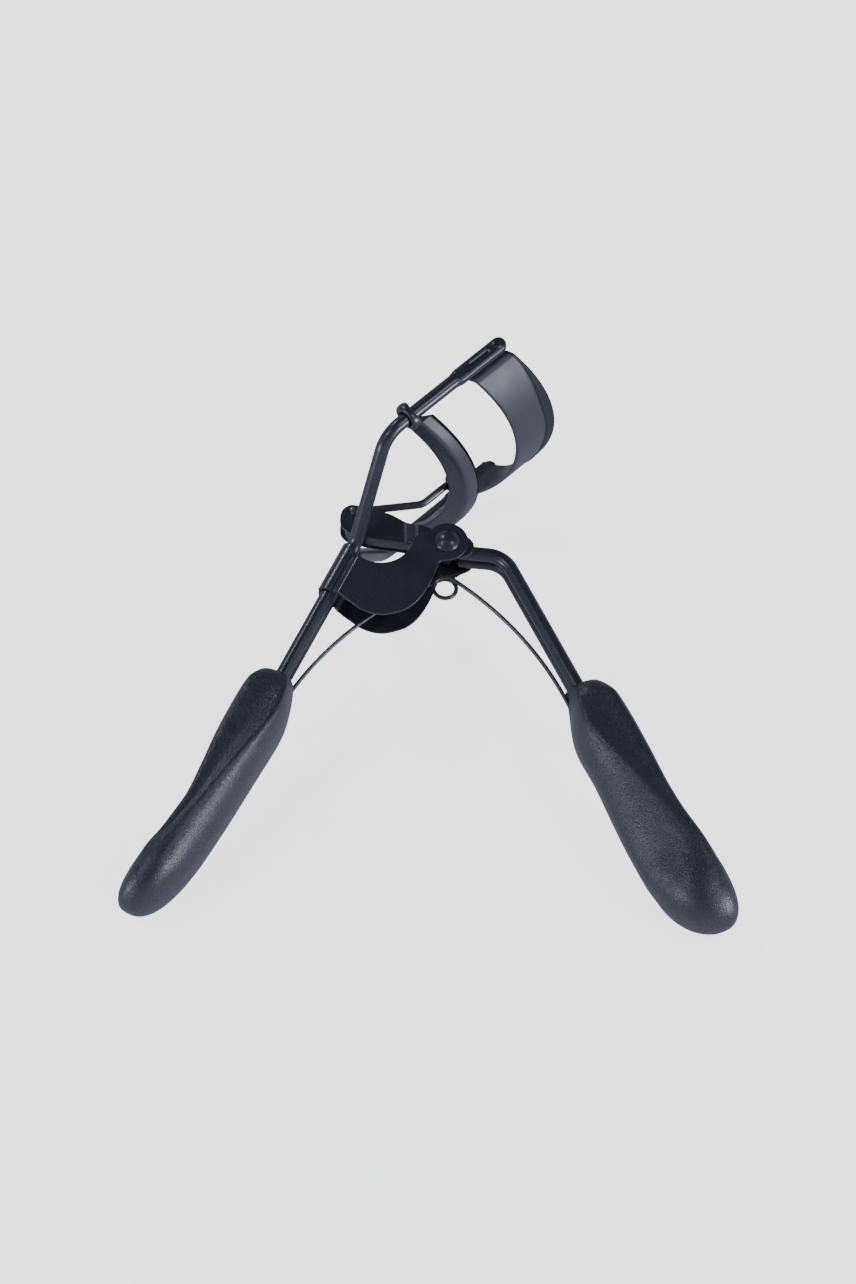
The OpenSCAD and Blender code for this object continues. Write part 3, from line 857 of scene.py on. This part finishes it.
def soften(loop, rounds=3):
    """Cuts the corners of a closed loop again and again, which leaves smooth arcs."""
    for _ in range(rounds):
        cut = []
        for a, b in zip(loop, loop[1:] + loop[:1]):
            cut.append((a[0] * 0.75 + b[0] * 0.25, a[1] * 0.75 + b[1] * 0.25))
            cut.append((a[0] * 0.25 + b[0] * 0.75, a[1] * 0.25 + b[1] * 0.75))
        loop = cut
    return loop


def grip_section(s, outer, inner, half, ridge_path):
    """A grip's section: on each side a flat strip lies between two soft ridges. The inner ridge
    crosses the strip towards the tip, so the face towards the other handle grows. At both ends of
    the grip the section becomes a plain oval."""
    start, span, low, gain, flatness = ridge_path
    along = smooth((s - start) / span)
    wide = outer + inner
    ridge = wide * (low + gain * along)
    rim = wide * (0.89 + 0.03 * along)
    side = [(wide, 0.3), (wide, 0.6), (rim + 0.04 * wide, 0.9), (rim - 0.02 * wide, 0.995),
            ((ridge + rim) / 2, 0.965), (ridge + 0.4 * (rim - ridge) * 0.5, 1.0), (ridge, 1.03)]
    halves = []
    # The near side's inner face is cut flatter than the far side's
    for power in (flatness, 0.9):
        face = [(ridge * (1 - math.sin(t) ** power), 1.03 * math.cos(t) ** (power - 0.05))
                for t in (0.4, 0.8, 1.15, 1.42)]
        halves.append([(x - inner, y * half) for x, y in side + face])
    near, far = halves
    loop = soften(near + [(x, -y) for x, y in reversed(far)])
    mid, rad = (outer - inner) / 2, wide / 2
    oval = max(smooth((s - 54) / 12), smooth((31.5 - s) / 3))
    mixed = []
    for x, y in loop:
        t = math.atan2(y / half, (x - mid) / rad)
        c, sn = math.cos(t), math.sin(t)
        ox = mid + rad * math.copysign(abs(c) ** 0.86, c)
        oy = half * math.copysign(abs(sn) ** 0.86, sn)
        mixed.append((x + (ox - x) * oval, y + (oy - y) * oval))
    return mixed


def grip(stations, at, tip_shape, ridge_path):
    """A soft grip lofted through stations. Past the last one it closes as a dome."""
    tip, drift, curl, blunt = tip_shape
    fine = spline(stations, 9)
    s0, outer, inner, half = fine[-1]
    mid0, rad0 = (outer - inner) / 2, (outer + inner) / 2
    dome_steps = 18
    for k in range(1, dome_steps + 1):
        q = math.sin(math.pi / 2 * k / dome_steps)
        s = s0 + (tip - s0) * q
        mid = mid0 + (s - s0) * (drift + curl * (s - s0))
        rad = rad0 * max(1 - q ** blunt, 0.0) ** (1 / blunt) + 0.02
        fine.append((s, mid + rad, rad - mid, half * math.sqrt(max(1 - q * q, 0.0)) + 0.02))
    # Smaller rings on the flat face that the rods go into
    s, outer, inner, half = fine[0]
    mid = (outer - inner) / 2
    mouth = grip_section(s, outer, inner, half, ridge_path)
    rings = [[at(s - 0.02 * (1 - q), mid + (x - mid) * q, y * q) for x, y in mouth] for q in (0.35, 0.7, 0.9)]
    rings += [[at(st[0], x, y) for x, y in grip_section(*st, ridge_path)] for st in fine]
    return skin(rings)


piece("fixed_sleeve", *grip(FIXED_STATIONS, fixed_at, FIXED_TIP, FIXED_RIDGE), "frame", ["fixed_grip"],
      "grip_rubber", RUBBER, sharp=70)
piece("lever_sleeve", *grip(LEVER_STATIONS, lever_at, LEVER_TIP, LEVER_RIDGE), "lever", ["lever_grip"],
      "grip_rubber", RUBBER, sharp=70)

# ---- camera ----

AZIMUTH, ELEVATION, ROLL = math.radians(-2.66), math.radians(61.37), math.radians(2.76)
RIGHT_BY, UP_BY, BACK_BY = -2.62, -12.70, 500.4  # from the pivot, along the camera's own axes
LENS, SENSOR = 99.9, 36


def camera():
    az, el, roll = AZIMUTH, ELEVATION, ROLL
    back = Vector((math.sin(az) * math.cos(el), -math.cos(az) * math.cos(el), math.sin(el)))
    right = Vector((math.cos(az), math.sin(az), 0))
    up = back.cross(right)
    r = right * math.cos(roll) + up * math.sin(roll)
    u = -right * math.sin(roll) + up * math.cos(roll)
    place = r * RIGHT_BY + u * UP_BY + back * BACK_BY
    turn = TILT.to_3x3() @ Matrix((r, u, back)).transposed()
    cam = bpy.data.cameras.new("camera")
    cam.lens = LENS
    cam.sensor_width = SENSOR
    cam.clip_start = 0.02
    ob = bpy.data.objects.new("camera", cam)
    bpy.context.scene.collection.objects.link(ob)
    ob.matrix_world = Matrix.Translation(TO_ROW @ place) @ turn.to_4x4()
    bpy.context.scene.camera = ob


camera()

# ---- studio ----

LAMP_COLOUR = (0.88, 0.92, 1.0)
SKY_COLOUR = (0.92, 0.94, 1.12)
FLOOR_R = 3


def area(name, loc, aim, size, power):
    """A soft box at loc that faces aim, in metres and watts."""
    li = bpy.data.lights.new(name, "AREA")
    li.shape = "RECTANGLE"
    li.size, li.size_y = size
    li.energy = power
    li.color = LAMP_COLOUR
    ob = bpy.data.objects.new(name, li)
    bpy.context.scene.collection.objects.link(ob)
    ob.location = loc
    ob.rotation_euler = (Vector(aim) - Vector(loc)).to_track_quat("-Z", "Y").to_euler()


def floor():
    """A round pale floor that glows, as a light table does, and so shows hardly any shadow. It is
    hidden from reflections, which see the dimmer, cooler sky in its place."""
    mat = bpy.data.materials.new("floor")
    mat.use_nodes = True
    bsdf = mat.node_tree.nodes["Principled BSDF"]
    bsdf.inputs["Base Color"].default_value = (0.85, 0.85, 0.855, 1)
    bsdf.inputs["Roughness"].default_value = 0.7
    bsdf.inputs["Specular IOR Level"].default_value = 0.2
    bsdf.inputs["Emission Color"].default_value = (1, 1, 1, 1)
    bsdf.inputs["Emission Strength"].default_value = 2.0
    rim = [(x, y, 0) for x, y in circle(0, 0, FLOOR_R, 72)]
    me = bpy.data.meshes.new("floor")
    me.from_pydata(rim, [], [tuple(range(len(rim)))])
    me.materials.append(mat)
    ob = bpy.data.objects.new("floor", me)
    bpy.context.scene.collection.objects.link(ob)
    ob.visible_glossy = False


def sky():
    """Grey below, a little brighter at the horizon and dark overhead, so that faces that look up
    stay black."""
    world = bpy.data.worlds.new("studio")
    world.use_nodes = True
    nt = world.node_tree
    co = nt.nodes.new("ShaderNodeTexCoord")
    xyz = nt.nodes.new("ShaderNodeSeparateXYZ")
    ramp = nt.nodes.new("ShaderNodeValToRGB")
    stops = [(0.0, 0.4), (0.25, 0.45), (0.47, 0.5), (0.53, 0.55), (0.62, 0.36), (0.75, 0.12), (0.9, 0.1)]
    while len(ramp.color_ramp.elements) < len(stops):
        ramp.color_ramp.elements.new(0.5)
    for element, (place, level) in zip(ramp.color_ramp.elements, stops):
        element.position = place
        element.color = (*(part * level for part in SKY_COLOUR), 1)
    half = nt.nodes.new("ShaderNodeMapRange")
    half.inputs["From Min"].default_value = -1
    nt.links.new(co.outputs["Generated"], xyz.inputs["Vector"])
    nt.links.new(xyz.outputs["Z"], half.inputs["Value"])
    nt.links.new(half.outputs["Result"], ramp.inputs["Fac"])
    nt.links.new(ramp.outputs["Color"], nt.nodes["Background"].inputs["Color"])
    bpy.context.scene.world = world


floor()
sky()
for side in (-1, 1):
    name = "left" if side < 0 else "right"
    area(name + "_box", (0.47 * side, -0.25, 0.1), (0, 0, 0.01), (0.2, 0.14), 1.5 + 0.3 * side)
    area(name + "_top_box", (0.27 * side, -0.1, 0.4), (0, 0, 0), (0.1, 0.1), 0.42)
area("low_box", (0.45, -0.17, 0.03), (0.02, 0.04, 0.03), (0.08, 0.05), 0.45)
area("back_box", (-0.18, 0.25, 0.33), (0, 0, 0.01), (0.045, 0.045), 0.34)
